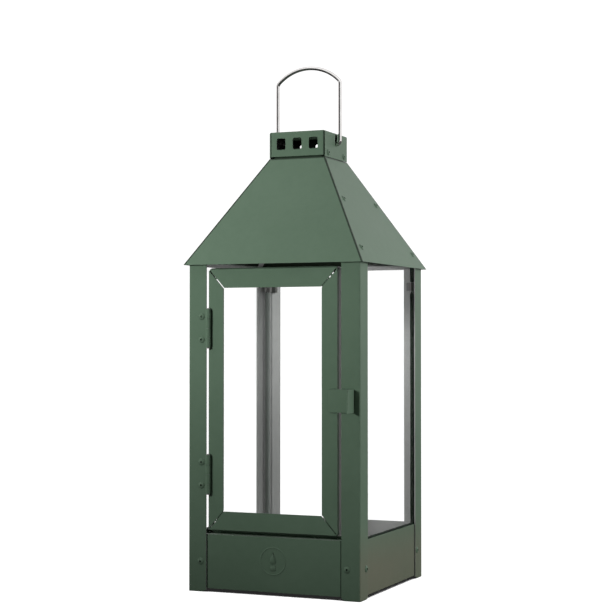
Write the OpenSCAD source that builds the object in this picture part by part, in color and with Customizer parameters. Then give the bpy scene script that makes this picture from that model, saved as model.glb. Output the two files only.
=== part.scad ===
// Square sheet-steel barn lantern with a hipped roof, a chimney, a glazed door and a wire handle.
// Millimetres. The origin is at the middle of the body on the plane that the feet stand on,
// the door faces -Y and +Z is up.

/* [Body] */
// Width and depth of the body across its corner posts
body_w = 170; // [166:1:190]
// Height of the eaves above the feet
eave_z = 301.5; // [300:0.5:330]
// Thickness of the body's sheet steel
sheet_t = 1; // [0.8:0.1:1.2]
// Width of each post's front or rear flange
post_front_w = 18; // [16.5:0.5:18]
// Width of each post's side flange
post_side_w = 19.5; // [19:0.5:24]
// Height of the skirts' bottom edge
skirt_bottom_z = 3.3; // [2:0.1:6]
// Height of the skirts' top edge
skirt_top_z = 53; // [46:1:54]
// Height of the floor that the candle stands on
floor_z = 13; // [9:1:16]
// Thickness of every pane of glass
glass_t = 3; // [2:0.5:3]

/* [Roof] */
// How far the eaves stand out past the posts
eave_overhang = 4; // [3:0.5:7]
// Height of the slope from the eaves to the chimney
roof_rise = 102.3; // [90:0.1:115]
// Width of the hidden flanges that join the slopes at the hips
hip_flange_w = 15; // [14:0.5:18]

/* [Chimney] */
// Width and depth of the chimney
chimney_w = 56.6; // [56:0.2:60]
// Height of the chimney above the top of the slope
chimney_h = 25.1; // [24.5:0.1:32]
// Width of each vent
vent_w = 9; // [6:0.5:10]
// Height of each vent
vent_h = 11; // [8:0.5:12]
// Distance between vent centres
vent_pitch = 16.5; // [14:0.5:16.5]

/* [Door] */
// Width of the door
door_w = 127.8; // [126:0.1:128]
// Distance that the door hangs off centre, towards its hinges
door_offset = 0.6; // [0:0.1:0.8]
// Height of the door's bottom edge
door_bottom_z = 57.5; // [57:0.5:70]
// Height of the door's top edge
door_top_z = 296.9; // [290:0.1:298]
// Width of the upright members
stile_w = 15.1; // [14:0.1:18]
// Width of the top and bottom members
rail_w = 17; // [15:0.5:20]
// Depth of the members' outer walls, front face included
return_depth = 4.3; // [4:0.1:6]
// Width of the slit left at each mitred corner
mitre_gap = 1.1; // [0.4:0.1:1.6]
// Height of the middle of the pull tab
pull_tab_z = 177.5; // [120:0.5:240]
// How far the pull tab's lip stands forward of the door
pull_tab_lip = 16; // [10:1:20]

/* [Hinges] */
// Height of each hinge
hinge_h = 35.8; // [30:0.2:40]
// Height of the middle of the lower hinge
hinge_low_z = 108.4; // [90:0.1:130]
// Height of the middle of the upper hinge
hinge_high_z = 242.8; // [200:0.1:260]

/* [Handle] */
// Diameter of the handle wire
wire_d = 3.5; // [3:0.1:4]
// Distance between the centrelines of the two legs
handle_w = 64.4; // [64:0.2:66]
// Height of the top of the wire's centreline
handle_top_z = 492.8; // [485:0.1:510]
// Bend radius of the handle's top arch
arch_r = 44; // [40:1:60]

/* [Hidden] */
$fn = 64;

// Colours
paint = [0.38, 0.47, 0.39];
bare_steel = [0.55, 0.55, 0.54];
polished_steel = [0.8, 0.8, 0.82];
clear_glass = [0.8, 0.9, 0.9, 0.3];

// Body, measured from its middle to its outer faces
half = body_w / 2;
inner = half - sheet_t;
bend_r = 1.5 * sheet_t;
post_top_z = eave_z + 0.8;
foot_chamfer_w = 4;
foot_chamfer_h = 2;
skirt_inner = inner - sheet_t;
corner_relief = 0.6;
sill_back_y = -half + 13.5;
sill_upstand = 3;

// Roof slope
eave = half + eave_overhang;
neck = chimney_w / 2;
neck_z = eave_z + roof_rise;
slope_run = eave - neck;
slope_angle = atan2(roof_rise, slope_run);

// Half-width of the roof at height z, at depth d below the slope's outer face
function slope_x(z, d = 0) = eave - (z - eave_z) / tan(slope_angle) - d / sin(slope_angle);
// Height of the slope at half-width x, at depth d below its outer face
function slope_z(x, d = 0) = eave_z + (eave - x) * tan(slope_angle) - d / cos(slope_angle);

// Chimney
chimney_top_z = neck_z + chimney_h;
neck_flange_x = neck - 2 * sheet_t;
neck_flange_h = 9;
neck_flange_l = 48;
chimney_front_bottom_z = neck_z + 1.8;
chimney_side_bottom_z = neck_z + 0.4;
chimney_flange_l = 13;
vent_z = chimney_top_z - 11.5;
vent_r = 1.75;

// Blind rivets
rivet_r = 1.6;
rivet_hole_r = 1.65;
rivet_head_r = 3.2;
rivet_head_h = 1.2;
mandrel_r = 1;
base_rivet_inset_front = 12.5;
base_rivet_inset_side = 15;
base_rivet_z_front = 27.8;
base_rivet_z_side = 27.5;
hinge_rivet_x = 13.2;
hinge_rivet_dz = [-10.5, 10.8];
roof_rivet_inset = 10.5;
roof_rivet_low_z = eave_z + 14.1;
roof_rivet_high_z = eave_z + 60.8;
chimney_rivet_y = 20;
chimney_rivet_z = neck_z + 4.9;

// Post tabs under the roof
tab_w = 9.5;
tab_reach = 8.5;

// Window panes stand in the channel between the tray's lip and its wall
pane_outer = inner - 2 * sheet_t;
pane_inner = pane_outer - glass_t;
ledge_z = floor_z + 21;
lip_r = pane_inner - 0.5;
pane_top_z = eave_z + 4;
clip_t = 0.8;
clip_h = 8;
clip_z = eave_z - 21;

// Door
door_x = door_w / 2;
light_x = door_x - stile_w;
light_low_z = door_bottom_z + rail_w;
light_high_z = door_top_z - rail_w;
mitre_dz = mitre_gap / 2 * norm([stile_w, rail_w]) / stile_w;
mitre_dx = mitre_gap / 2 * norm([stile_w, rail_w]) / rail_w;
return_y = -half + return_depth;
rail_return_rise = 1.5;
door_glass_back_y = -half + sheet_t + glass_t;
glass_frame_depth = 7;
glass_frame_lap = 4;
pull_tab_t = 1.2;
pull_tab_low_x = 54.4;
pull_tab_high_x = 79.4;
pull_tab_h = 20.7;
pull_tab_r = 3.6;

// Hinges
hinge_side_x = -door_x - door_offset;
hinge_x = hinge_side_x + 0.6;
hinge_y = -half - 2.4;
knuckle_r = 2.35;
pin_r = 1;
pin_bore_r = 1.05;
knuckle_count = 4;
knuckle_gap = 0.2;
leaf_t = 0.8;

// Handle
handle_x = handle_w / 2;
pivot_z = neck_z + 14.2;
slot_w = 5.5;
slot_bottom_z = pivot_z - wire_d / 2 - 0.05;
slot_top_z = chimney_top_z - 1.5;
foot_bend_r = 4;
shoulder_r = 5;
foot_inner_x = neck - 6;
arch_z = handle_top_z - arch_r;
shoulder_x = handle_x - shoulder_r;
arch_half_angle = asin(shoulder_x / (arch_r - shoulder_r));
shoulder_z = arch_z + (arch_r - shoulder_r) * cos(arch_half_angle);

// ---- Helpers ----

// Box between two opposite corners
module box(low, high) {
    translate(low) cube(high - low);
}

// Box centred on the Z axis with a square plan
module square_slab(r, z0, z1) {
    box([-r, -r, z0], [r, r, z1]);
}

// Rectangle with its corner at the origin rounded
module one_round_corner(w, h, r) {
    translate([r, 0]) square([w - r, h]);
    translate([0, r]) square([w, h - r]);
    translate([r, r]) circle(r);
}

// Centred rectangle with four rounded corners
module rounded_rect(w, h, r) {
    square([w - 2 * r, h], center = true);
    square([w, h - 2 * r], center = true);
    for (sx = [-1, 1], sy = [-1, 1]) translate([sx * (w / 2 - r), sy * (h / 2 - r)]) circle(r);
}

// Folded sheet angle in plan: one flange along +X and one along +Y from its bend at the origin
module angle_plan(w, h) {
    difference() {
        one_round_corner(w, h, bend_r);
        translate([sheet_t, sheet_t]) one_round_corner(w, h, bend_r - sheet_t);
    }
}

// Turns a drawing in X and Z into a solid between two Y values
module extrude_y(y0, y1) {
    translate([0, y1, 0]) rotate([90, 0, 0]) linear_extrude(y1 - y0) children();
}

// Turns a drawing in Y and Z into a solid between two X values
module extrude_x(x0, x1) {
    translate([x0, 0, 0]) rotate([90, 0, 90]) linear_extrude(x1 - x0) children();
}

module mirror_x() {
    children();
    mirror([1, 0, 0]) children();
}

module mirror_y() {
    children();
    mirror([0, 1, 0]) children();
}

// Rivet hole along X through both side walls, or along Y through both end walls
module hole_x(y, z) {
    translate([-eave, y, z]) rotate([0, 90, 0]) cylinder(h = 2 * eave, r = rivet_hole_r);
}

module hole_y(x, z) {
    translate([x, eave, z]) rotate([90, 0, 0]) cylinder(h = 2 * eave, r = rivet_hole_r);
}

// Places children on the right-hand slope at height z, with +Z along the slope's outward normal
module on_right_slope(z) {
    translate([slope_x(z), slope_x(z) - roof_rivet_inset, z]) rotate([0, slope_angle, 0]) children();
}

module slope_holes() {
    mirror_x() mirror_y() for (z = [roof_rivet_low_z, roof_rivet_high_z])
        on_right_slope(z) translate([0, 0, -6]) cylinder(h = 12, r = rivet_hole_r);
}

// Blind rivet through a stack of sheets: head on +Z with a mandrel hole, bulb behind the stack
module blind_rivet(grip) {
    dome_r = (rivet_head_r * rivet_head_r + rivet_head_h * rivet_head_h) / (2 * rivet_head_h);
    mandrel_depth = 0.9;
    bulb_r = 2.4;
    bulb_h = 3;
    rotate_extrude() {
        intersection() {
            translate([0, rivet_head_h - dome_r]) circle(dome_r, $fn = 128);
            union() {
                translate([mandrel_r, 0]) square([rivet_head_r, rivet_head_h]);
                square([mandrel_r, rivet_head_h - mandrel_depth]);
            }
        }
        translate([0, -grip]) square([rivet_r, grip]);
        polygon([[0, -grip], [bulb_r, -grip], [bulb_r, -grip - 1], [rivet_r, -grip - bulb_h], [0, -grip - bulb_h]]);
    }
}

// ---- Body ----

// The rear-right corner post, with its rivet holes and the tab that takes a roof rivet
module corner_post() {
    difference() {
        union() {
            intersection() {
                translate([half, half]) rotate(180) linear_extrude(post_top_z)
                    angle_plan(post_front_w, post_side_w);
                extrude_y(-half, half + 1) flange_outline(half - post_front_w);
                extrude_x(-half, half + 1) flange_outline(half - post_side_w);
            }
            extrude_y(half - post_side_w, half - post_side_w + tab_w) polygon([
                [half, post_top_z - 2],
                [half, slope_z(half, 2 * sheet_t)],
                [half - tab_reach, slope_z(half - tab_reach, 2 * sheet_t)],
                [half - tab_reach, slope_z(half - tab_reach, 3 * sheet_t)],
                [inner, slope_z(inner, 3 * sheet_t)],
                [inner, post_top_z - 2]
            ]);
        }
        hole_x(half - base_rivet_inset_side, base_rivet_z_side);
        hole_y(half - base_rivet_inset_front, base_rivet_z_front);
        slope_holes();
    }
}

// Elevation of a flange from its free edge at x = edge, with that edge's lower corner cut off
module flange_outline(edge) {
    polygon([
        [edge + foot_chamfer_w, 0], [half + 1, 0], [half + 1, eave_z + 9],
        [edge, eave_z + 9], [edge, foot_chamfer_h]
    ]);
}

module post_front_left() {
    color(paint) difference() {
        rotate(180) corner_post();
        for (z = [hinge_low_z, hinge_high_z], dz = hinge_rivet_dz)
            translate([-half + hinge_rivet_x, -half - 1, z + dz]) rotate([-90, 0, 0])
                cylinder(h = 3, r = rivet_hole_r);
    }
}

module post_front_right() {
    color(paint) mirror([0, 1, 0]) corner_post();
}

module post_rear_left() {
    color(paint) mirror([1, 0, 0]) corner_post();
}

module post_rear_right() {
    color(paint) corner_post();
}

// Skirt across the front or the rear, drawn at the rear
module end_skirt() {
    difference() {
        box([-skirt_inner, skirt_inner, skirt_bottom_z], [skirt_inner, inner, skirt_top_z]);
        for (sx = [-1, 1]) hole_y(sx * (half - base_rivet_inset_front), base_rivet_z_front);
    }
}

// Skirt along a side, drawn on the right
module side_skirt() {
    end_y = inner - corner_relief;
    difference() {
        box([skirt_inner, -end_y, skirt_bottom_z], [inner, end_y, skirt_top_z]);
        for (sy = [-1, 1]) hole_x(sy * (half - base_rivet_inset_side), base_rivet_z_side);
    }
}

// The front skirt's top edge is folded in as a sill under the door, with an upstand at the back
module skirt_front() {
    sill_x = skirt_inner - 6;
    color(paint) {
        mirror([0, 1, 0]) end_skirt();
        box([-sill_x, -inner, skirt_top_z - sheet_t], [sill_x, sill_back_y, skirt_top_z]);
        box([-sill_x, sill_back_y - sheet_t, skirt_top_z - sheet_t],
            [sill_x, sill_back_y, skirt_top_z + sill_upstand]);
    }
}

module skirt_rear() {
    color(paint) end_skirt();
}

module skirt_left() {
    color(paint) mirror([1, 0, 0]) side_skirt();
}

module skirt_right() {
    color(paint) side_skirt();
}

// Pan inside the skirts: floor, walls, and a ledge with a lip that the panes stand behind
module floor_tray() {
    color(bare_steel) {
        difference() {
            square_slab(skirt_inner, floor_z - sheet_t, ledge_z);
            square_slab(pane_outer, floor_z, ledge_z - sheet_t);
            square_slab(lip_r - sheet_t, floor_z, ledge_z + 1);
            for (s = [-1, 1]) {
                hole_x(s * (half - base_rivet_inset_side), base_rivet_z_side);
                hole_y(s * (half - base_rivet_inset_front), base_rivet_z_front);
            }
        }
        difference() {
            square_slab(lip_r, ledge_z - sheet_t, ledge_z + 4);
            square_slab(lip_r - sheet_t, ledge_z - 2 * sheet_t, ledge_z + 5);
        }
    }
}

// ---- Window glass ----

module glass_right() {
    end_y = pane_outer - 0.5;
    color(clear_glass) box([pane_inner, -end_y, ledge_z], [pane_outer, end_y, pane_top_z]);
}

module glass_left() {
    mirror([1, 0, 0]) glass_right();
}

module glass_rear() {
    end_x = pane_inner - 1.5;
    color(clear_glass) box([-end_x, pane_inner, ledge_z], [end_x, pane_outer, pane_top_z]);
}

// Clip in a right-hand corner: a foot on the post and a fin that holds the side pane outwards
module pane_clip() {
    fin_x = pane_inner - 0.2;
    box([half - 15, inner - clip_t, clip_z], [inner - 1, inner, clip_z + clip_h]);
    box([fin_x - clip_t, inner - 12, clip_z], [fin_x, inner, clip_z + clip_h]);
}

// Arm on a rear clip that holds the rear pane backwards
module pane_clip_arm() {
    arm_y = pane_inner;
    box([pane_inner - 5.5, arm_y - clip_t, clip_z], [pane_inner - 0.4, arm_y, clip_z + clip_h]);
}

module glass_clips() {
    color(bare_steel) mirror_x() {
        mirror_y() pane_clip();
        pane_clip_arm();
    }
}

// ---- Roof ----

// Section through one slope's sheet, in half-width and height, between two depths
module slope_section(d0, d1, z0, z1) {
    polygon([
        [slope_x(z0, d0), z0], [slope_x(z1, d0), z1],
        [slope_x(z1, d1), z1], [slope_x(z0, d1), z0]
    ]);
}

// Section through the top of a slope: the sheet steps in level and turns up into the neck
module neck_section() {
    under_z = neck_z - sheet_t;
    polygon([
        [slope_x(under_z), under_z], [neck, neck_z],
        [neck_flange_x, neck_z], [neck_flange_x, neck_z + neck_flange_h],
        [neck_flange_x - sheet_t, neck_z + neck_flange_h], [neck_flange_x - sheet_t, under_z]
    ]);
}

// Outline of the whole roof seen from one side, inset from the hips by a depth
module roof_outline(d) {
    polygon([
        [-slope_x(eave_z, d), eave_z], [slope_x(eave_z, d), eave_z],
        [slope_x(neck_z, d), neck_z], [-slope_x(neck_z, d), neck_z]
    ]);
}

// Slope drawn on the right, with its ends inset from the outer faces of its neighbours
module slope_sheet(inset) {
    intersection() {
        extrude_y(-eave, eave) slope_section(0, sheet_t, eave_z, neck_z);
        extrude_x(0, eave) roof_outline(inset);
    }
    extrude_y(-neck_flange_l / 2, neck_flange_l / 2) neck_section();
}

// Side slopes lie over the hip flanges of the front and rear slopes
module roof_right() {
    color(paint) difference() {
        slope_sheet(0);
        slope_holes();
        for (sy = [-1, 1]) hole_x(sy * chimney_rivet_y, chimney_rivet_z);
    }
}

module roof_left() {
    mirror([1, 0, 0]) roof_right();
}

// Hidden flange along the rear-right hip, lying against the inside of the right-hand slope
module hip_flange() {
    top_z = neck_z - 4;
    intersection() {
        extrude_y(0, eave) slope_section(sheet_t, 2 * sheet_t, eave_z, top_z);
        extrude_x(0, eave) polygon([
            [slope_x(eave_z, sheet_t / 2), eave_z], [slope_x(top_z, sheet_t / 2), top_z],
            [slope_x(top_z) - hip_flange_w, top_z], [slope_x(eave_z) - hip_flange_w, eave_z]
        ]);
    }
}

module roof_rear() {
    color(paint) difference() {
        union() {
            rotate(90) slope_sheet(sheet_t);
            mirror_x() hip_flange();
        }
        slope_holes();
    }
}

module roof_front() {
    mirror([0, 1, 0]) roof_rear();
}

// ---- Chimney ----

// Vented wall at the rear, with a flange turned in behind each side of the hood
module chimney_rear() {
    wall_x = neck - sheet_t;
    color(paint) difference() {
        intersection() {
            translate([0, 0, chimney_front_bottom_z]) linear_extrude(chimney_h)
                mirror_x() translate([wall_x, neck]) rotate(180)
                angle_plan(wall_x, chimney_flange_l);
            extrude_y(0, eave) hood_inside();
        }
        for (i = [-1, 0, 1]) extrude_y(0, eave)
            translate([i * vent_pitch, vent_z]) rounded_rect(vent_w, vent_h, vent_r);
        hole_x(chimney_rivet_y, chimney_rivet_z);
    }
}

module chimney_front() {
    mirror([0, 1, 0]) chimney_rear();
}

// Top and sides of the chimney in one folded sheet. The handle pivots in a round hole on the left
// and drops into a slot on the right
module chimney_hood() {
    color(paint) difference() {
        extrude_y(-neck, neck) difference() {
            hood_outline(neck, chimney_top_z, chimney_side_bottom_z, bend_r);
            hood_inside();
        }
        translate([-eave, 0, pivot_z]) rotate([0, 90, 0]) cylinder(h = eave, d = wire_d + 0.2);
        translate([0, 0, slot_bottom_z + slot_w / 2]) rotate([0, 90, 0])
            cylinder(h = eave, d = slot_w);
        box([0, -slot_w / 2, slot_bottom_z + slot_w / 2], [eave, slot_w / 2, slot_top_z]);
        for (sy = [-1, 1]) hole_x(sy * chimney_rivet_y, chimney_rivet_z);
    }
}

// Rectangle of half-width x between two heights, with its two top corners rounded
module hood_outline(x, top, bottom, r) {
    mirror_x() translate([-x, top]) mirror([0, 1]) one_round_corner(x, top - bottom, r);
}

// Space under the folded hood, open at the bottom
module hood_inside() {
    hood_outline(neck - sheet_t, chimney_top_z - sheet_t, chimney_side_bottom_z - 1, bend_r - sheet_t);
}

// ---- Handle ----

// Arc of wire in the XZ plane about a centre, from one angle above +X to another
module wire_arc(centre_x, centre_z, r, a0, a1, d = wire_d) {
    translate([centre_x, 0, centre_z]) rotate([90, 0, 0]) rotate(a0)
        rotate_extrude(angle = a1 - a0) translate([r, 0]) circle(d = d, $fn = 32);
}

module handle() {
    // The arch is a hair thinner and runs on into the shoulder bends, so that it joins them cleanly
    arch_end = arch_half_angle + 0.4;
    color(polished_steel) {
        wire_arc(0, arch_z, arch_r, 90 - arch_end, 90 + arch_end, wire_d - 0.04);
        mirror_x() {
            wire_arc(shoulder_x, shoulder_z, shoulder_r, 0, 90 - arch_half_angle);
            translate([handle_x, 0, pivot_z + foot_bend_r])
                cylinder(h = shoulder_z - pivot_z - foot_bend_r, d = wire_d, $fn = 32);
            wire_arc(handle_x - foot_bend_r, pivot_z + foot_bend_r, foot_bend_r, -90, 0);
            translate([foot_inner_x, 0, pivot_z]) rotate([0, 90, 0])
                cylinder(h = handle_x - foot_bend_r - foot_inner_x, d = wire_d, $fn = 32);
        }
    }
}

// ---- Door ----

// Moves children, drawn in the middle, to where the door hangs
module hang() {
    translate([-door_offset, 0, 0]) children();
}

// Upper horizontal member: front face cut to the mitres, and an outer wall folded back
// that stands a little open
module door_rail_top() {
    color(paint) {
        extrude_y(-half, -half + sheet_t) polygon([
            [-door_x + mitre_dx, door_top_z], [door_x - mitre_dx, door_top_z],
            [light_x - mitre_dx, light_high_z], [-light_x + mitre_dx, light_high_z]
        ]);
        extrude_x(-door_x + sheet_t, door_x - sheet_t) polygon([
            [-half, door_top_z], [return_y, door_top_z + rail_return_rise],
            [return_y, door_top_z + rail_return_rise - sheet_t], [-half, door_top_z - sheet_t]
        ]);
    }
}

module door_rail_bottom() {
    mid_z = (door_top_z + door_bottom_z) / 2;
    translate([0, 0, 2 * mid_z]) mirror([0, 0, 1]) door_rail_top();
}

// Upright member on the right
module door_stile_latch() {
    color(paint) {
        extrude_y(-half, -half + sheet_t) polygon([
            [light_x, light_high_z - mitre_dz], [door_x, door_top_z - mitre_dz],
            [door_x, door_bottom_z + mitre_dz], [light_x, light_low_z + mitre_dz]
        ]);
        box([door_x - sheet_t, -half, door_bottom_z + mitre_dz],
            [door_x, return_y, door_top_z - mitre_dz]);
    }
}

module door_stile_hinge() {
    mirror([1, 0, 0]) door_stile_latch();
}

module door_glass() {
    edge = 1.5 * sheet_t;
    color(clear_glass) box(
        [-door_x + edge, -half + sheet_t, door_bottom_z + edge],
        [door_x - edge, door_glass_back_y, door_top_z - edge]
    );
}

// Slab in the plane of the door, inset from the door's edges
module door_slab(inset, y0, y1) {
    box([-door_x + inset, y0, door_bottom_z + inset], [door_x - inset, y1, door_top_z - inset]);
}

// Folded frame that clamps the glass from behind: a flange on the glass and a wall turned back
module door_glass_frame() {
    back_y = return_y + glass_frame_depth;
    color(bare_steel) difference() {
        union() {
            door_slab(sheet_t + 0.1, door_glass_back_y, return_y);
            door_slab(0, return_y, back_y);
        }
        door_slab(sheet_t, return_y + 0.7, back_y + 1);
        door_slab(glass_frame_lap, door_glass_back_y - 1, back_y + 1);
    }
}

// Plate on the latch stile that laps over the post, with a lip turned forward to pull on
module pull_tab() {
    low_z = pull_tab_z - pull_tab_h / 2;
    width = pull_tab_high_x - pull_tab_low_x;
    color(paint) {
        extrude_y(-half - pull_tab_t, -half) translate([pull_tab_low_x, low_z]) {
            one_round_corner(width, pull_tab_h / 2, pull_tab_r);
            translate([0, pull_tab_h]) mirror([0, 1])
                one_round_corner(width, pull_tab_h / 2, pull_tab_r);
        }
        box([pull_tab_high_x - pull_tab_t, -half - pull_tab_lip, low_z],
            [pull_tab_high_x, -half, low_z + pull_tab_h]);
    }
}

// ---- Hinges ----

// Height of the bottom of knuckle number i, counted up from 0, in a hinge centred on z = 0
function knuckle_z(i) = -hinge_h / 2 + i * hinge_h / knuckle_count;
knuckle_h = hinge_h / knuckle_count - knuckle_gap;

module knuckle(i) {
    translate([hinge_x, hinge_y, knuckle_z(i)]) cylinder(h = knuckle_h, r = knuckle_r);
}

module pin_bore() {
    translate([hinge_x, hinge_y, -hinge_h]) cylinder(h = 2 * hinge_h, r = pin_bore_r);
}

// Leaf riveted behind the post's front flange. Its arms come forward through the gap
// beside the door to the first and third knuckles from the bottom
module hinge_post_leaf(z) {
    plate_y = -inner;
    arm_x = hinge_x - knuckle_r;
    color(paint) translate([0, 0, z]) difference() {
        union() {
            box([-half + 8, plate_y, -hinge_h / 2],
                [arm_x + leaf_t, plate_y + leaf_t, hinge_h / 2 - knuckle_gap]);
            for (i = [0, 2]) {
                knuckle(i);
                box([arm_x, hinge_y, knuckle_z(i)],
                    [arm_x + leaf_t, plate_y + leaf_t, knuckle_z(i) + knuckle_h]);
            }
        }
        pin_bore();
        for (dz = hinge_rivet_dz) hole_y(-half + hinge_rivet_x, dz);
    }
}

// Leaf welded to the edge of the door, with the second and fourth knuckles from the bottom
module hinge_door_leaf(z) {
    color(paint) translate([0, 0, z]) difference() {
        union() {
            box([hinge_side_x - leaf_t, -half, -hinge_h / 2],
                [hinge_side_x, return_y, hinge_h / 2 - knuckle_gap]);
            for (i = [1, 3]) {
                knuckle(i);
                box([hinge_side_x - leaf_t, hinge_y, knuckle_z(i)],
                    [hinge_side_x, return_y, knuckle_z(i) + knuckle_h]);
            }
        }
        pin_bore();
    }
}

module hinge_pin(z) {
    head_r = 1.7;
    head_h = 0.8;
    play = 0.1;
    low_z = -hinge_h / 2 - play;
    high_z = hinge_h / 2 - knuckle_gap + play;
    color(bare_steel) translate([hinge_x, hinge_y, z]) {
        translate([0, 0, low_z - head_h]) cylinder(h = high_z - low_z + 2 * head_h, r = pin_r);
        translate([0, 0, low_z - head_h]) cylinder(h = head_h, r = head_r);
        translate([0, 0, high_z]) cylinder(h = head_h, r = head_r);
    }
}

module hinge_upper_post_leaf() hinge_post_leaf(hinge_high_z);
module hinge_upper_door_leaf() hinge_door_leaf(hinge_high_z);
module hinge_upper_pin() hinge_pin(hinge_high_z);
module hinge_lower_post_leaf() hinge_post_leaf(hinge_low_z);
module hinge_lower_door_leaf() hinge_door_leaf(hinge_low_z);
module hinge_lower_pin() hinge_pin(hinge_low_z);

// ---- Rivets ----

module base_rivets() {
    color(paint) mirror_x() mirror_y() {
        translate([half, half - base_rivet_inset_side, base_rivet_z_side]) rotate([0, 90, 0])
            blind_rivet(3 * sheet_t);
        translate([half - base_rivet_inset_front, half, base_rivet_z_front]) rotate([-90, 0, 0])
            blind_rivet(3 * sheet_t);
    }
}

module hinge_rivets() {
    color(paint) for (z = [hinge_low_z, hinge_high_z], dz = hinge_rivet_dz)
        translate([-half + hinge_rivet_x, -half, z + dz]) rotate([90, 0, 0])
            blind_rivet(sheet_t + leaf_t);
}

module roof_rivets() {
    color(paint) mirror_x() mirror_y() {
        on_right_slope(roof_rivet_low_z) blind_rivet(3 * sheet_t);
        on_right_slope(roof_rivet_high_z) blind_rivet(2 * sheet_t);
    }
}

module chimney_rivets() {
    color(paint) mirror_x() mirror_y()
        translate([neck, chimney_rivet_y, chimney_rivet_z]) rotate([0, 90, 0])
            blind_rivet(3 * sheet_t);
}

// ---- Nodes ----

post_front_left();
post_front_right();
post_rear_left();
post_rear_right();
skirt_front();
skirt_rear();
skirt_left();
skirt_right();
floor_tray();
glass_left();
glass_right();
glass_rear();
glass_clips();
roof_front();
roof_rear();
roof_left();
roof_right();
chimney_front();
chimney_rear();
chimney_hood();
handle();
hang() door_rail_top();
hang() door_rail_bottom();
hang() door_stile_hinge();
hang() door_stile_latch();
hang() door_glass();
hang() door_glass_frame();
pull_tab();
hinge_upper_post_leaf();
hinge_upper_door_leaf();
hinge_upper_pin();
hinge_lower_post_leaf();
hinge_lower_door_leaf();
hinge_lower_pin();
base_rivets();
hinge_rivets();
roof_rivets();
chimney_rivets();
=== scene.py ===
import math
import random

import bmesh
import bpy
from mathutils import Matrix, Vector


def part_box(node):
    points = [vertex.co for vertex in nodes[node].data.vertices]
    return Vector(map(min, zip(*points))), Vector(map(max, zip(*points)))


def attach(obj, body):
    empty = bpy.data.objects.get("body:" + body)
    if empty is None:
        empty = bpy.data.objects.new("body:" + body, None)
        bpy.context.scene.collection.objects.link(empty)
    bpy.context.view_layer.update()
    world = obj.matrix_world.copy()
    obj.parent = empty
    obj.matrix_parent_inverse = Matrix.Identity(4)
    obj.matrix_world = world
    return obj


MM = 0.001

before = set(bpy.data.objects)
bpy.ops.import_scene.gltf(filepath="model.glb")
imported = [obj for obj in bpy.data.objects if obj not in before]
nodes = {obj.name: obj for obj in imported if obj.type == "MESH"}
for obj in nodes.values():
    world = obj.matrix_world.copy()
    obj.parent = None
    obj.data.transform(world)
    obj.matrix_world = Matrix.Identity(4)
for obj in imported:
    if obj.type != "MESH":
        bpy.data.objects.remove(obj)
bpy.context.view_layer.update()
scene = bpy.context.scene

# ---------------------------------------------------------------------------
# Camera
# ---------------------------------------------------------------------------

# Worked out from the edges of the body as the photograph shows them. Angles are in degrees.
CAMERA_AZIMUTH = 22.716
CAMERA_DISTANCE = 1.5232
CAMERA_HEIGHT = 0.2316
CAMERA_YAW = 22.849
CAMERA_PITCH = 1.274
CAMERA_LENS = 93.86
SENSOR_WIDTH = 36.0


def make_camera():
    data = bpy.data.cameras.new("camera")
    data.sensor_width = SENSOR_WIDTH
    data.lens = CAMERA_LENS
    data.clip_start = 0.05
    data.clip_end = 20
    camera = bpy.data.objects.new("camera", data)
    azimuth = math.radians(CAMERA_AZIMUTH)
    camera.location = (
        CAMERA_DISTANCE * math.sin(azimuth),
        -CAMERA_DISTANCE * math.cos(azimuth),
        CAMERA_HEIGHT,
    )
    camera.rotation_euler = (math.radians(90 + CAMERA_PITCH), 0, math.radians(CAMERA_YAW))
    scene.collection.objects.link(camera)
    scene.camera = camera


# ---------------------------------------------------------------------------
# Node helpers
# ---------------------------------------------------------------------------


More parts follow.
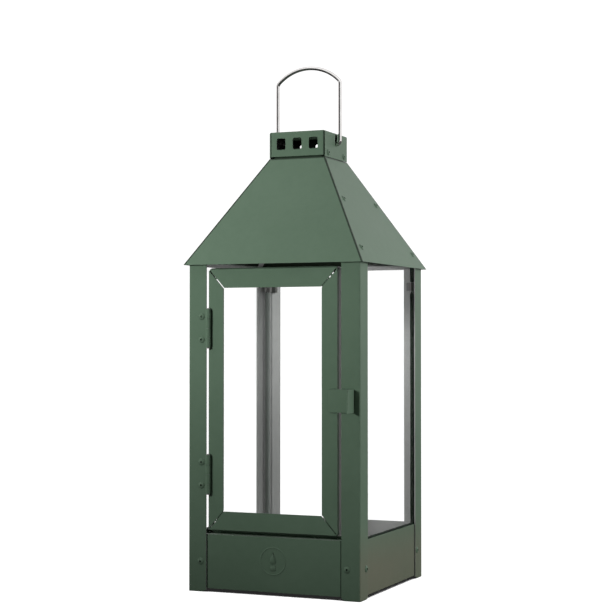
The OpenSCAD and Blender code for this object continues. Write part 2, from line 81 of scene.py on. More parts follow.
class Tree:
    """A few short calls for writing a material's node tree."""

    def __init__(self, name):
        self.material = bpy.data.materials.new(name)
        self.material.use_nodes = True
        self.tree = self.material.node_tree
        self.shader = self.tree.nodes["Principled BSDF"]
        self.output = self.tree.nodes["Material Output"]
        self.place = self.add("ShaderNodeTexCoord").outputs["Object"]

    def add(self, kind, **values):
        node = self.tree.nodes.new(kind)
        for key, value in values.items():
            setattr(node, key, value)
        return node

    def link(self, source, target):
        self.tree.links.new(source, target)

    def feed(self, socket, value):
        if isinstance(value, bpy.types.NodeSocket):
            self.link(value, socket)
        else:
            socket.default_value = value

    def set(self, **values):
        for key, value in values.items():
            self.feed(self.shader.inputs[key.replace("_", " ")], value)

    def noise(self, scale, detail=3.0, rough=0.5, place=None, stretch=None):
        place = place or self.place
        if stretch:
            mapping = self.add("ShaderNodeMapping")
            mapping.inputs["Scale"].default_value = stretch
            self.link(place, mapping.inputs["Vector"])
            place = mapping.outputs["Vector"]
        node = self.add("ShaderNodeTexNoise")
        node.inputs["Scale"].default_value = scale
        node.inputs["Detail"].default_value = detail
        node.inputs["Roughness"].default_value = rough
        self.link(place, node.inputs["Vector"])
        return node.outputs["Fac"]

    def math(self, operation, a, b=0.0, c=0.0):
        node = self.add("ShaderNodeMath", operation=operation)
        for socket, value in zip(node.inputs, (a, b, c)):
            self.feed(socket, value)
        return node.outputs["Value"]

    def span(self, value, low, high, to_low=0.0, to_high=1.0, kind="SMOOTHSTEP"):
        node = self.add("ShaderNodeMapRange", interpolation_type=kind)
        for socket, item in zip(node.inputs, (value, low, high, to_low, to_high)):
            self.feed(socket, item)
        return node.outputs["Result"]

    def mix(self, factor, a, b):
        node = self.add("ShaderNodeMix", data_type="RGBA")
        self.feed(node.inputs["Factor"], factor)
        self.feed(node.inputs[6], (*a, 1) if isinstance(a, tuple) else a)
        self.feed(node.inputs[7], (*b, 1) if isinstance(b, tuple) else b)
        return node.outputs[2]

    def bump(self, height, strength, distance, normal=None):
        node = self.add("ShaderNodeBump")
        node.inputs["Strength"].default_value = strength
        node.inputs["Distance"].default_value = distance
        self.link(height, node.inputs["Height"])
        if normal:
            self.link(normal, node.inputs["Normal"])
        return node.outputs["Normal"]

    def object_normal(self):
        coordinate = self.add("ShaderNodeTexCoord")
        split = self.add("ShaderNodeSeparateXYZ")
        self.link(coordinate.outputs["Normal"], split.inputs["Vector"])
        return split.outputs

    def object_place(self):
        split = self.add("ShaderNodeSeparateXYZ")
        self.link(self.place, split.inputs["Vector"])
        return split.outputs


def linear(r, g, b):
    """Linear colour from sRGB values in 0 to 255."""

    def one(v):
        v = v / 255
        return v / 12.92 if v <= 0.04045 else ((v + 0.055) / 1.055) ** 2.4

    return one(r), one(g), one(b)


# ---------------------------------------------------------------------------
# Materials
# ---------------------------------------------------------------------------

PAINT_LIGHT = linear(98, 120, 101)
PAINT_DARK = linear(91, 113, 94)
# Pale green of the painted highlight along edges
PAINT_EDGE_HIGHLIGHT = linear(134, 154, 136)
# Near-black green of the painted shade in crevices and seams
PAINT_SHADE = linear(14, 27, 15)
LOW_SIDE_TINT = linear(132, 102, 90)
INSIDE_LIGHT = linear(190, 191, 190)
INSIDE_DARK = linear(174, 175, 174)
# Near-black green of the painted shade inside the roof
ROOF_INSIDE_SHADE = linear(34, 44, 33)
# Near-black of the painted shade inside the chimney
CHIMNEY_SHADE_LIGHT = linear(34, 38, 33)
CHIMNEY_SHADE_DARK = linear(20, 22, 19)

# Painted shade in crevices and along seams: how fast it fades, how strong it is, and the seams' width and
# blur
CREVICE_FADE = 0.38
CREVICE_SHADE_STRENGTH = 0.85
SEAM_SHADE_STRENGTH = 0.9
SEAM_WIDTH = 1.1 * MM
SEAM_BLUR = 0.4 * MM


def towards_axis(t):
    """1 on the faces that look towards the lantern's vertical axis, in the object's own space."""
    n = t.object_normal()
    p = t.object_place()
    dot = t.math("ADD", t.math("MULTIPLY", n["X"], p["X"]), t.math("MULTIPLY", n["Y"], p["Y"]))
    across = t.math("ADD", t.math("MULTIPLY", p["X"], p["X"]), t.math("MULTIPLY", p["Y"], p["Y"]))
    return t.span(t.math("DIVIDE", dot, t.math("SQRT", across)), -0.1, -0.3)


def edge_highlights(t, radius):
    """Mask of the painted highlight along edges: 1 on edges, broken up by noise."""
    bevel = t.add("ShaderNodeBevel", samples=4)
    bevel.inputs["Radius"].default_value = radius
    geometry = t.add("ShaderNodeNewGeometry")
    dot = t.add("ShaderNodeVectorMath", operation="DOT_PRODUCT")
    t.link(bevel.outputs["Normal"], dot.inputs[0])
    t.link(geometry.outputs["Normal"], dot.inputs[1])
    edge = t.span(dot.outputs["Value"], 0.995, 0.9)
    return t.math("MULTIPLY", edge, t.span(t.noise(260, 3, 0.6), 0.25, 0.5)), bevel.outputs["Normal"]


def crevice_shade(t, reach, clean):
    """Mask of painted shade: 1 in tight corners, such as a rivet's mandrel hole or the line where two
    sheets meet.
    It falls to 0 where the share of open space within reach is clean or more."""
    open_space = t.add("ShaderNodeAmbientOcclusion", samples=6)
    open_space.inputs["Distance"].default_value = reach
    return t.span(open_space.outputs["AO"], clean, clean - CREVICE_FADE)


def low_side_tint_share(t, cloud, amount):
    """Share of a brownish tint on the faces that look sideways, strongest near the floor."""
    low = t.span(t.object_place()["Z"], 75 * MM, 20 * MM)
    sideways = t.span(t.math("ABSOLUTE", t.object_normal()["X"]), 0.5, 0.7)
    patches = t.span(cloud, 0.25, 0.75, 0.7 * amount, amount)
    return t.math("MULTIPLY", t.math("MULTIPLY", low, sideways), patches)


def paint_base(name, inside=None, inside_colours=None, painted_shade_mask=None, edge_radius=0.35 * MM,
               reach=1.6 * MM, clean=0.85, low_side_tint=0.0):
    """Satin grey-green coating, with painted shade in crevices and a painted highlight along edges. inside
    makes a mask of the faces that carry the inside finish and inside_colours its colour. The fourth
    argument makes a mask of extra painted shade. The last argument is the greatest share of the brownish
    tint on sideways faces near the floor."""
    t = Tree(name)
    inside = inside(t) if inside else None
    painted_shade_mask = painted_shade_mask(t) if painted_shade_mask else None
    cloud = t.noise(9, 4, 0.55)
    mottle = t.noise(120, 3, 0.6)
    shade = t.math("ADD", t.math("MULTIPLY", cloud, 0.7), t.math("MULTIPLY", mottle, 0.3))
    tone = t.span(shade, 0.3, 0.7)
    colour = t.mix(tone, PAINT_DARK, PAINT_LIGHT)
    if low_side_tint:
        colour = t.mix(low_side_tint_share(t, cloud, low_side_tint), colour, LOW_SIDE_TINT)
    edge_highlight, rounded = edge_highlights(t, edge_radius)
    # Painted highlight along the edges
    colour = t.mix(t.math("MULTIPLY", edge_highlight, 0.6), colour, PAINT_EDGE_HIGHLIGHT)
    rough = t.span(cloud, 0.3, 0.7, 0.42, 0.50, "LINEAR")
    # Painted shade darkens the paint in crevices
    painted_shade = t.math("MULTIPLY", crevice_shade(t, reach, clean), CREVICE_SHADE_STRENGTH)
    if inside is not None:
        inner = inside_colours(t, tone)
        colour = t.mix(inside, colour, inner)
        rough = t.math("ADD", rough, t.math("MULTIPLY", inside, 0.12))
    # Extra painted shade along seams and joints
    if painted_shade_mask is not None:
        painted_shade = t.math("MAXIMUM", painted_shade, painted_shade_mask)
    if inside is not None:
        painted_shade = t.math("MULTIPLY", painted_shade, t.math("SUBTRACT", 1.0, inside))
    colour = t.mix(painted_shade, colour, PAINT_SHADE)
    t.set(Base_Color=colour, Roughness=rough, Specular_IOR_Level=0.2)
    orange_peel = t.bump(t.noise(420, 2, 0.4), 0.10, 0.12 * MM, rounded)
    fine = t.bump(t.noise(1500, 2, 0.5), 0.10, 0.05 * MM, orange_peel)
    t.set(Normal=t.bump(t.noise(14, 2, 0.4), 0.12, 1.2 * MM, fine))
    return t.material


def plain_inside(t, tone):
    return t.mix(tone, INSIDE_DARK, INSIDE_LIGHT)


def roof_inside_shade_and_reflection(t, tone):
    """Inside of the roof: near-black green painted shade above the top edges of the panes, and below them
    the paler inside finish, which stands in for a painted reflection seen in the panes.
    """
    z = t.object_place()["Z"]
    pane_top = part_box("glass_right")[1].z
    return t.mix(t.span(z, pane_top - 0.3 * MM, pane_top + 0.3 * MM), plain_inside(t, tone), ROOF_INSIDE_SHADE)


def chimney_inside_shade(t, tone):
    """Painted shade inside the chimney: near-black, in patches."""
    return t.mix(t.span(t.noise(60, 3, 0.6), 0.4, 0.6), CHIMNEY_SHADE_DARK, CHIMNEY_SHADE_LIGHT)


def all_but_outside(t):
    """1 everywhere on the vented walls except their outer faces, so that the vents' cut edges get the
    painted shade of the inside too.
    """
    outward = t.math("MULTIPLY", t.object_normal()["Y"], t.math("SIGN", t.object_place()["Y"]))
    return t.span(outward, 0.8, 0.5)


def roof_shade(t):
    """Mask of the painted shade where the chimney stands on the slopes and along the hips."""
    p = t.object_place()
    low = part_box("chimney_front")[0].z
    neck = t.span(p["Z"], low - 3.6 * MM, low - 2.2 * MM)
    off_hip = t.math("SUBTRACT", t.math("ABSOLUTE", p["X"]), t.math("ABSOLUTE", p["Y"]))
    hip = t.span(t.math("ABSOLUTE", off_hip), 2.0 * MM, 1.2 * MM)
    return t.math("MULTIPLY", t.math("MAXIMUM", neck, hip), CREVICE_SHADE_STRENGTH)


def up_to_edge(t, distance, edge):
    """1 in the strip that ends at edge, along the axis that distance is measured on."""
    return t.span(distance, edge - SEAM_WIDTH - SEAM_BLUR, edge - SEAM_WIDTH)


def hood_seam_shade(t):
    """Mask of the painted shade in the seams where the vented walls meet the hood's right-hand side sheet.
    """
    p = t.object_place()
    edge = t.span(t.math("ABSOLUTE", t.object_normal()["Y"]), 0.6, 0.8)
    at_side = up_to_edge(t, p["X"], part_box("chimney_hood")[1].x)
    return t.math("MULTIPLY", t.math("MULTIPLY", edge, at_side), SEAM_SHADE_STRENGTH)


def seam_shade(axis, edge):
    """Mask of the painted shade line where a skirt runs in behind a post's flange."""

    def mask(t):
        distance = t.math("ABSOLUTE", t.object_place()[axis])
        return t.math("MULTIPLY", up_to_edge(t, distance, edge), SEAM_SHADE_STRENGTH)

    return mask


def door_inside(t):
    """1 on the door members' faces that look back, or in from their folded outer walls."""
    n = t.object_normal()
    p = t.object_place()
    low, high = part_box("door_stile_hinge")[0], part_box("door_stile_latch")[1]
    sideways = t.math("MULTIPLY", n["X"], t.math("SIGN", p["X"]))
    up = t.math("SIGN", t.math("SUBTRACT", p["Z"], (low.z + high.z) / 2))
    upward = t.math("MULTIPLY", n["Z"], up)
    back = t.span(n["Y"], 0.3, 0.6)
    at_wall = t.span(p["Y"], low.y + 0.9 * MM, low.y + 1.1 * MM)
    inward = t.span(t.math("MINIMUM", sideways, upward), -0.6, -0.9)
    return t.math("MAXIMUM", back, t.math("MULTIPLY", inward, at_wall))


def bare_steel(name, dark, light):
    """Dull grey sheet with faint rolling lines, clouds and dark specks."""
    t = Tree(name)
    cloud = t.noise(24, 4, 0.6)
    lines = t.noise(60, 3, 0.6, stretch=(30, 1, 30))
    speck = t.noise(900, 2, 0.5)
    tone = t.math("ADD", t.math("MULTIPLY", cloud, 0.6), t.math("MULTIPLY", lines, 0.4))
    colour = t.mix(t.span(tone, 0.3, 0.7), dark, light)
    t.set(Base_Color=t.mix(t.span(speck, 0.62, 0.75, 0, 0.5), colour, linear(92, 91, 89)))
    t.set(Metallic=0.2, Roughness=t.span(tone, 0.3, 0.7, 0.42, 0.6, "LINEAR"))
    t.set(Normal=t.bump(t.math("ADD", lines, t.math("MULTIPLY", speck, 0.4)), 0.15, 0.05 * MM))
    return t.material


def polished_wire(name):
    """Bright drawn stainless wire with fine drawing lines and dull patches, and a greyish-pink painted
    reflection at its rim.
    """
    t = Tree(name)
    lines = t.noise(2500, 2, 0.5, stretch=(1, 1, 0.04))
    cloud = t.noise(60, 3, 0.6)
    bright = t.mix(t.span(cloud, 0.35, 0.7), linear(226, 224, 222), linear(240, 239, 238))
    # Painted reflection: greyish pink where the wire is seen edge-on
    rim = t.span(t.add("ShaderNodeLayerWeight").outputs["Facing"], 0.35, 0.6)
    t.set(Base_Color=t.mix(rim, bright, linear(138, 122, 122)))
    t.set(Metallic=1.0, Roughness=t.span(cloud, 0.3, 0.7, 0.10, 0.17, "LINEAR"))
    t.set(Normal=t.bump(lines, 0.08, 0.03 * MM))
    return t.material


def gap_shade_finish(name):
    """Dark green-black painted shade for the beads in the glazing gaps, with a slightly uneven surface."""
    t = Tree(name)
    tone = t.span(t.noise(90, 3, 0.5), 0.3, 0.7)
    t.set(Base_Color=t.mix(tone, linear(10, 20, 12), linear(22, 36, 25)))
    t.set(Roughness=0.6, Specular_IOR_Level=0.1)
    t.set(Normal=t.bump(t.noise(300, 2, 0.5), 0.2, 0.2 * MM))
    return t.material


def clear_glass(name, thin_axis):
    """Thin clear pane: plain see-through faces with a surface gloss, and grey-green cut edges, paler on
    the top and bottom edges as a painted highlight.
    """
    t = Tree(name)
    n = t.object_normal()
    along = t.math("ABSOLUTE", n[thin_axis])
    cut = t.span(along, 0.7, 0.3)
    smear = t.noise(30, 4, 0.6, stretch=(1, 1, 0.35))
    clear = t.add("ShaderNodeBsdfTransparent")
    tint = t.mix(t.span(smear, 0.35, 0.7), (0.998, 0.999, 0.998), (0.994, 0.997, 0.995))
    t.link(tint, clear.inputs["Color"])
    gloss = t.add("ShaderNodeBsdfGlossy")
    t.feed(gloss.inputs["Roughness"], t.span(smear, 0.3, 0.8, 0.0, 0.05, "LINEAR"))
    fresnel = t.add("ShaderNodeFresnel")
    fresnel.inputs["IOR"].default_value = 1.5
    face = t.add("ShaderNodeMixShader")
    t.link(t.math("MULTIPLY", fresnel.outputs["Fac"], 0.1), face.inputs["Fac"])
    t.link(clear.outputs["BSDF"], face.inputs[1])
    t.link(gloss.outputs["BSDF"], face.inputs[2])
    # Painted highlight: the top and bottom cut edges are paler than the side edges
    upright = t.math("ABSOLUTE", n["Z"])
    edge_tint_and_highlight = t.mix(t.span(upright, 0.4, 0.6), linear(150, 158, 153), linear(190, 206, 198))
    t.set(Base_Color=edge_tint_and_highlight, Roughness=0.35, Specular_IOR_Level=0.5)
    whole = t.add("ShaderNodeMixShader")
    t.link(cut, whole.inputs["Fac"])
    t.link(face.outputs["Shader"], whole.inputs[1])
    t.link(t.shader.outputs["BSDF"], whole.inputs[2])
    t.link(whole.outputs["Shader"], t.output.inputs["Surface"])
    return t.material


# ---------------------------------------------------------------------------
# CAD nodes
# ---------------------------------------------------------------------------

POSTS = ["post_front_left", "post_front_right", "post_rear_left", "post_rear_right"]
END_SKIRTS = ["skirt_front", "skirt_rear"]
SIDE_SKIRTS = ["skirt_left", "skirt_right"]
ROOF = ["roof_front", "roof_rear", "roof_left", "roof_right"]
VENTED_WALLS = ["chimney_front", "chimney_rear"]
DOOR_MEMBERS = ["door_rail_top", "door_rail_bottom", "door_stile_hinge", "door_stile_latch"]
SMALL_PAINTED = [
    "pull_tab", "hinge_upper_post_leaf", "hinge_upper_door_leaf",
    "hinge_lower_post_leaf", "hinge_lower_door_leaf",
]
RIVETS = ["base_rivets", "hinge_rivets", "roof_rivets", "chimney_rivets"]
HIDDEN_STEEL = ["door_glass_frame", "hinge_upper_pin", "hinge_lower_pin"]


def dress(names, material):
    for name in names:
        slots = nodes[name].data.materials
        slots.clear()
        slots.append(material)


def dress_cad():
    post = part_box("post_front_right")
    skirt_edge_x = post[0].x
    skirt_edge_y = -post[1].y
    dress(POSTS, paint_base("paint_posts", towards_axis, plain_inside, low_side_tint=0.3))
    dress(END_SKIRTS, paint_base(
        "paint_end_skirts", towards_axis, plain_inside, seam_shade("X", skirt_edge_x)))
    dress(SIDE_SKIRTS, paint_base(
        "paint_side_skirts", towards_axis, plain_inside, seam_shade("Y", skirt_edge_y), low_side_tint=0.36))
    dress(ROOF, paint_base("paint_roof", towards_axis, roof_inside_shade_and_reflection, roof_shade))
    dress(VENTED_WALLS, paint_base("paint_vents", all_but_outside, chimney_inside_shade))
    dress(["chimney_hood"], paint_base("paint_hood", towards_axis, chimney_inside_shade, hood_seam_shade))
    dress(DOOR_MEMBERS, paint_base("paint_door", door_inside, plain_inside))
    dress(SMALL_PAINTED, paint_base("paint_small", edge_radius=0.3 * MM))
    dress(RIVETS, paint_base("paint_rivets", edge_radius=0.3 * MM, reach=3 * MM, clean=0.96))
    dress(HIDDEN_STEEL, bare_steel("grey_steel", linear(144, 142, 140), linear(168, 167, 165)))
    dress(["floor_tray"], bare_steel("tray_steel", linear(182, 180, 178), linear(202, 200, 198)))
    dress(["glass_clips"], bare_steel("clip_steel", linear(118, 118, 116), linear(140, 140, 138)))
    dress(["handle"], polished_wire("polished_wire"))
    dress(["glass_left", "glass_right"], clear_glass("glass_side", "X"))
    dress(["glass_rear", "door_glass"], clear_glass("glass_end", "Y"))


# ---------------------------------------------------------------------------
# Details the CAD leaves out
# ---------------------------------------------------------------------------

MITRE_GAP = 1.1 * MM
STILE_WIDTH = 15.1 * MM
RAIL_WIDTH = 17.0 * MM
WELD_HALF_WIDTH = MITRE_GAP * 0.56
WELD_HALF_DEPTH = 0.4 * MM
CLIP_CLEARANCE = 0.5 * MM
# Sizes of the dark beads of painted shade in the glazing gaps
SHADE_BEAD_HALF_DEPTH = 0.9 * MM
SKIRT_SHADE_BEAD_HALF_HEIGHT = 1.8 * MM
SKIRT_SHADE_BEAD_RISE = 0.4 * MM
EMBLEM_HEIGHT = 31.4 * MM
EMBLEM_RADIUS = 13.0 * MM
EMBLEM_RELIEF = 0.35 * MM


def shell(build, loops, caps=True):
    """Skin over closed loops of equal length, with flat ends unless caps is false."""
    rows = [[build.verts.new(point) for point in loop] for loop in loops]
    count = len(rows[0])
    for low, high in zip(rows, rows[1:]):
        for i in range(count):
            j = (i + 1) % count
            build.faces.new((low[i], low[j], high[j], high[i]))
    if caps:
        build.faces.new(rows[0][::-1])
        build.faces.new(rows[-1])


def finish_piece(build, name, material, body):
    bmesh.ops.recalc_face_normals(build, faces=build.faces)
    mesh = bpy.data.meshes.new(name)
    build.to_mesh(mesh)
    build.free()
    for polygon in mesh.polygons:
        polygon.use_smooth = True
    mesh.materials.append(material)
    piece = bpy.data.objects.new(name, mesh)
    scene.collection.objects.link(piece)
    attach(piece, body)


def bead(build, start, end, across, out, chance, steps=24, sides=10, blunt=6):
    """Rounded bead from start to end. across and out are the half-axes of its section.
    The larger blunt is, the nearer its ends it starts to narrow."""
    start, end, across, out = (Vector(v) for v in (start, end, across, out))
    loops = []
    for i in range(steps + 1):
        t = i / steps
        size = math.sqrt(max(0.02, 1 - abs(2 * t - 1) ** blunt)) * chance.uniform(0.92, 1.04)
        centre = start.lerp(end, t)
        angles = [2 * math.pi * k / sides for k in range(sides)]
        loops.append([centre + (across * math.cos(a) + out * math.sin(a)) * size for a in angles])
    shell(build, loops)


def make_mitre_welds(material):
    """Filler and weld spots in the mitred corners of the door. The open part shows the glass."""
    chance = random.Random(11)
    left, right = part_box("door_stile_hinge"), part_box("door_stile_latch")
    face_y = left[0].y
    corner_dz = MITRE_GAP / 2 * math.hypot(STILE_WIDTH, RAIL_WIDTH) / STILE_WIDTH
    outer = {-1: left[0].x, 1: right[1].x}
    level = {-1: left[0].z - corner_dz, 1: left[1].z + corner_dz}
    # Corner by side and height, then pieces: from, to (0 at the outer corner), depth below the face
    pieces = [
        (-1, 1, 0.42, 0.52, 0.1 * MM),
        (1, 1, 0.34, 0.44, 0.1 * MM), (1, 1, 0.52, 0.60, 0.1 * MM), (1, 1, 0.60, 1.0, 0.3 * MM),
        (-1, -1, 0.44, 0.54, 0.1 * MM), (-1, -1, 0.54, 1.0, 0.3 * MM),
        (1, -1, 0.0, 0.8, 0.5 * MM),
    ]
    build = bmesh.new()
    for side, height, low, high, depth in pieces:
        corner = Vector((outer[side], 0, level[height]))
        along = Vector((-side * STILE_WIDTH, 0, -height * RAIL_WIDTH))
        across = Vector((along.z, 0, -along.x)).normalized() * WELD_HALF_WIDTH
        middle_y = face_y + depth + WELD_HALF_DEPTH
        start, end = (corner + along * t + Vector((0, middle_y, 0)) for t in (low, high))
        bead(build, start, end, across, (0, WELD_HALF_DEPTH, 0), chance)
    finish_piece(build, "door_mitre_welds", material, "door")


def shade_beads_rear_corner(build, chance):
    """Dark beads of painted shade behind and in front of the rear pane's right edge, above and below the
    clip.
    """
    rear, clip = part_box("glass_rear"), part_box("glass_clips")
    behind = Vector((rear[1].x + 0.3 * MM, rear[1].y + 1 * MM, 0))
    in_front_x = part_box("glass_right")[0].x - 1.8 * MM
    in_front = Vector((in_front_x, rear[0].y - SHADE_BEAD_HALF_DEPTH, 0))
    spans = [
        (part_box("floor_tray")[1].z, clip[0].z - CLIP_CLEARANCE),
        (clip[1].z + CLIP_CLEARANCE, rear[1].z),
    ]
    for middle, half_width in ((behind, 2.9 * MM), (in_front, 1.75 * MM)):
        for low, high in spans:
            start, end = (middle + Vector((0, 0, z)) for z in (low, high))
            across, out = (half_width, 0, 0), (0, SHADE_BEAD_HALF_DEPTH, 0)
            bead(build, start, end, across, out, chance, steps=80, blunt=80)


def shade_beads_side_skirts(build, chance):
    """Dark beads of painted shade in the gaps where the side panes go down behind the skirts."""
    pane_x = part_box("glass_right")[1].x
    skirt_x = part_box("skirt_right")[0].x
    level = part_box("skirt_right")[1].z + SKIRT_SHADE_BEAD_RISE
    reach = -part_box("post_front_right")[1].y
    gap_x = (pane_x + skirt_x) / 2
    across, up = ((skirt_x - pane_x) * 0.48, 0, 0), (0, 0, SKIRT_SHADE_BEAD_HALF_HEIGHT)
    for hand in (-1, 1):
        start, end = (Vector((hand * gap_x, y, level)) for y in (-reach, reach))
        bead(build, start, end, across, up, chance, steps=60, blunt=60)


def make_shade_beads():
    """Dark beads of painted shade in the rear right-hand corner and along the side skirts."""
    chance = random.Random(5)
    build = bmesh.new()
    shade_beads_rear_corner(build, chance)
    shade_beads_side_skirts(build, chance)
    finish_piece(build, "pane_shade_beads", gap_shade_finish("gap_shade_finish"), "body")


def inset(points, amount):
    """Closed outline moved inwards by amount."""
    moved = []
    for i, (x, z) in enumerate(points):
        before, after = points[i - 1], points[(i + 1) % len(points)]
        run, rise = after[0] - before[0], after[1] - before[1]
        length = math.hypot(run, rise)
        moved.append((x - rise / length * amount, z + run / length * amount))
    return moved


def circle_outline(radius, count=64):
    angles = [2 * math.pi * i / count for i in range(count)]
    return [(radius * math.cos(a), radius * math.sin(a)) for a in angles]


def flame_outline(width, height, count=48):
    """Anticlockwise teardrop with its tip up."""
    angles = [2 * math.pi * (i + 0.5) / count for i in range(count)]
    return [(-width * math.sin(a) * math.sin(a / 2) ** 1.6, height * math.cos(a)) for a in angles]


def make_emblem(material):
    """Plain round badge with a candle flame, pressed in low relief into the front skirt."""
    face_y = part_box("skirt_front")[0].y
    build = bmesh.new()

    def place(points, relief, rise=0.0):
        return [Vector((x, face_y - relief, EMBLEM_HEIGHT + z + rise)) for x, z in points]

    def raised(points, rise):
        shell(build, [place(points, 0, rise), place(inset(points, EMBLEM_RELIEF), EMBLEM_RELIEF, rise)])

    rim = EMBLEM_RADIUS * 0.1
    radii = (EMBLEM_RADIUS, EMBLEM_RADIUS - rim * 0.3, EMBLEM_RADIUS - rim * 0.7, EMBLEM_RADIUS - rim)
    reliefs = (0, EMBLEM_RELIEF, EMBLEM_RELIEF, 0)
    shell(build, [place(circle_outline(r), d) for r, d in zip(radii, reliefs)], caps=False)
    raised(flame_outline(EMBLEM_RADIUS * 0.36, EMBLEM_RADIUS * 0.42), EMBLEM_RADIUS * 0.2)
    half_w, half_h = EMBLEM_RADIUS * 0.2, EMBLEM_RADIUS * 0.18
    candle = [(half_w, -half_h), (half_w, half_h), (-half_w, half_h), (-half_w, -half_h)]
    raised(candle, -EMBLEM_RADIUS * 0.5)
    finish_piece(build, "skirt_emblem", material, "body")


def make_details():
    paint = nodes["pull_tab"].data.materials[0]
    make_mitre_welds(paint)
    make_shade_beads()
    make_emblem(paint)


# ---------------------------------------------------------------------------
# Stage and light
# ---------------------------------------------------------------------------

# Strengths of the plain white surroundings, over 1 so that they stay white behind the panes
FLOOR_WHITE = 1.2
BACKDROP_WHITE = 1.12
REFLECTED_WHITE = 1.15

# Darkest strength of the contact shadow, and how far away a piece still shades the floor
CONTACT_DARK = 0.02
CONTACT_REACH = 60 * MM

# The wire reflects a dark floor and a dark band in front of the door. The band's middle and
# half-width are azimuths, its level and half-height are the Z of a direction.
REFLECTED_DARK = 0.08
BAND_MIDDLE = math.radians(-2)
BAND_HALF_WIDTH = math.radians(40)
BAND_EDGE = math.radians(12)
BAND_LEVEL = 0.14
BAND_HALF_HEIGHT = 0.1


def camera_switch(t, seen, unseen):
    """Mixes two shaders: one that the camera sees directly, one for all other light."""
    path = t.add("ShaderNodeLightPath")
    mix = t.add("ShaderNodeMixShader")
    t.link(path.outputs["Is Camera Ray"], mix.inputs["Fac"])
    t.link(unseen, mix.inputs[1])
    t.link(seen, mix.inputs[2])
    return mix.outputs["Shader"]


def make_floor():
    """White to the camera but for a dark contact shadow, and dark grey to all other light."""
    mesh = bpy.data.meshes.new("floor")
    build = bmesh.new()
    bmesh.ops.create_grid(build, x_segments=1, y_segments=1, size=6)
    build.to_mesh(mesh)
    build.free()
    floor = bpy.data.objects.new("floor", mesh)
    scene.collection.objects.link(floor)
    t = Tree("floor")
    open_sky = t.add("ShaderNodeAmbientOcclusion", samples=8)
    open_sky.inputs["Distance"].default_value = CONTACT_REACH
    white = t.add("ShaderNodeEmission")
    strength = t.span(open_sky.outputs["AO"], 0.32, 0.48, CONTACT_DARK, FLOOR_WHITE, "LINEAR")
    t.feed(white.inputs["Strength"], strength)
    t.set(Base_Color=(0.12, 0.12, 0.12, 1), Roughness=0.9, Specular_IOR_Level=0.1)
    shader = camera_switch(t, white.outputs["Emission"], t.shader.outputs["BSDF"])
    t.link(shader, t.output.inputs["Surface"])
    mesh.materials.append(t.material)


def place_light(name, data, place, aim):
    """Puts a light at place, turned towards aim, that neither the camera nor reflections see."""
    light = bpy.data.objects.new(name, data)
    light.location = place
    direction = Vector(aim) - Vector(place)
    light.rotation_euler = direction.to_track_quat("-Z", "Y").to_euler()
    light.visible_camera = False
    light.visible_glossy = False
    scene.collection.objects.link(light)


def area_light(name, place, aim, size, power):
    data = bpy.data.lights.new(name, "AREA")
    data.shape = "RECTANGLE"
    data.size, data.size_y = size
    data.energy = power
    place_light(name, data, place, aim)


def spot_light(name, place, aim, cone, radius, power):
    """Soft-edged cone, brightest along its middle line."""
    data = bpy.data.lights.new(name, "SPOT")
    data.spot_size = math.radians(cone)
    data.spot_blend = 1.0
    data.shadow_soft_size = radius
    data.energy = power
    place_light(name, data, place, aim)


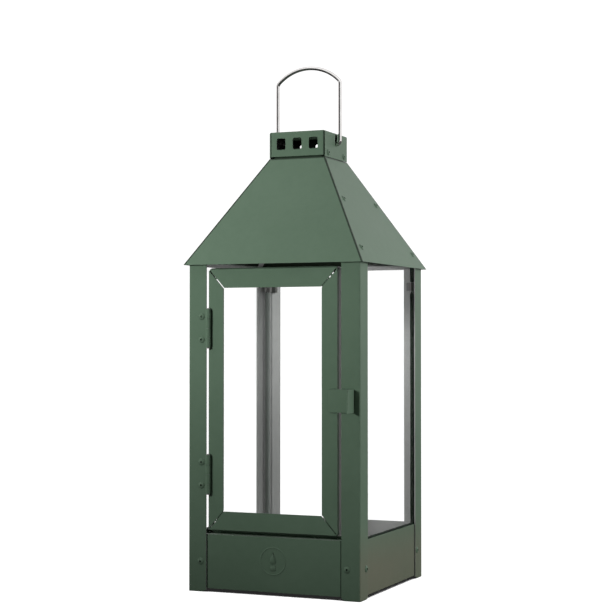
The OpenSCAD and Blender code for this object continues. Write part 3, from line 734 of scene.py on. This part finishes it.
def make_world():
    """White to the camera. The wire's reflections see white all round but for a dark band in front
    and a dark floor. Diffuse light from it is dim, and brighter from the right."""
    world = bpy.data.worlds.new("world")
    world.use_nodes = True
    scene.world = world
    tree = world.node_tree
    background = tree.nodes["Background"]
    background.inputs["Color"].default_value = (1, 1, 1, 1)
    links = tree.links

    def node(kind, **values):
        made = tree.nodes.new(kind)
        for key, value in values.items():
            setattr(made, key, value)
        return made

    def ramp(value, low, high, to_low, to_high):
        made = node("ShaderNodeMapRange")
        links.new(value, made.inputs["Value"])
        for socket, number in zip(list(made.inputs)[1:5], (low, high, to_low, to_high)):
            socket.default_value = number
        return made.outputs["Result"]

    def away_from(value, middle):
        difference = node("ShaderNodeMath", operation="SUBTRACT")
        links.new(value, difference.inputs[0])
        difference.inputs[1].default_value = middle
        distance = node("ShaderNodeMath", operation="ABSOLUTE")
        links.new(difference.outputs["Value"], distance.inputs[0])
        return distance.outputs["Value"]

    def choose(factor, a, b):
        made = node("ShaderNodeMix")
        links.new(factor, made.inputs["Factor"])
        for socket, value in ((made.inputs[2], a), (made.inputs[3], b)):
            if isinstance(value, float):
                socket.default_value = value
            else:
                links.new(value, socket)
        return made.outputs[0]

    direction = node("ShaderNodeSeparateXYZ")
    links.new(node("ShaderNodeTexCoord").outputs["Generated"], direction.inputs["Vector"])
    toward_door = node("ShaderNodeMath", operation="MULTIPLY")
    links.new(direction.outputs["Y"], toward_door.inputs[0])
    toward_door.inputs[1].default_value = -1
    azimuth = node("ShaderNodeMath", operation="ARCTAN2")
    links.new(direction.outputs["X"], azimuth.inputs[0])
    links.new(toward_door.outputs["Value"], azimuth.inputs[1])
    azimuth = azimuth.outputs["Value"]
    off_band = away_from(azimuth, BAND_MIDDLE)
    band_end = BAND_HALF_WIDTH + BAND_EDGE
    band = ramp(off_band, BAND_HALF_WIDTH, band_end, REFLECTED_DARK, REFLECTED_WHITE)
    level = away_from(direction.outputs["Z"], BAND_LEVEL)
    over_band = ramp(level, BAND_HALF_HEIGHT, 2 * BAND_HALF_HEIGHT, 0.0, 1.0)
    reflected = choose(over_band, band, REFLECTED_WHITE)
    below = ramp(direction.outputs["Z"], -0.58, -0.68, 0.0, 1.0)
    reflected = choose(below, reflected, REFLECTED_DARK)
    ambient = ramp(direction.outputs["X"], 0.1, 0.9, 0.05, 0.3)
    path = node("ShaderNodeLightPath")
    strength = choose(path.outputs["Is Glossy Ray"], ambient, reflected)
    strength = choose(path.outputs["Is Camera Ray"], strength, BACKDROP_WHITE)
    links.new(strength, background.inputs["Strength"])


def make_lights():
    """A key light from the front left, softer ones from above, the right and the rear, and a faint
    one inside that shows the insides of the rear posts."""
    make_world()
    spot_light(
        "key", place=(-0.35, -0.78, 0.41), aim=(0.03, -0.06, 0.45), cone=80, radius=0.08, power=20.5)
    area_light(
        "top", place=(-0.4, -0.3, 1.0), aim=(0, 0, 0.35), size=(0.3, 0.3), power=1.1)
    area_light(
        "side", place=(0.85, 0.08, 0.45), aim=(0.09, 0, 0.25), size=(0.35, 0.35), power=4.2)
    area_light(
        "rear", place=(-0.45, 0.95, 0.6), aim=(0, 0.08, 0.25), size=(0.4, 0.4), power=5.0)
    area_light(
        "inner", place=(0.03, -0.066, 0.265), aim=(0.03, 0.1, 0.265), size=(0.09, 0.11), power=0.08)


scene.view_settings.view_transform = "Standard"
scene.view_settings.look = "None"
make_camera()
dress_cad()
make_details()
make_floor()
make_lights()
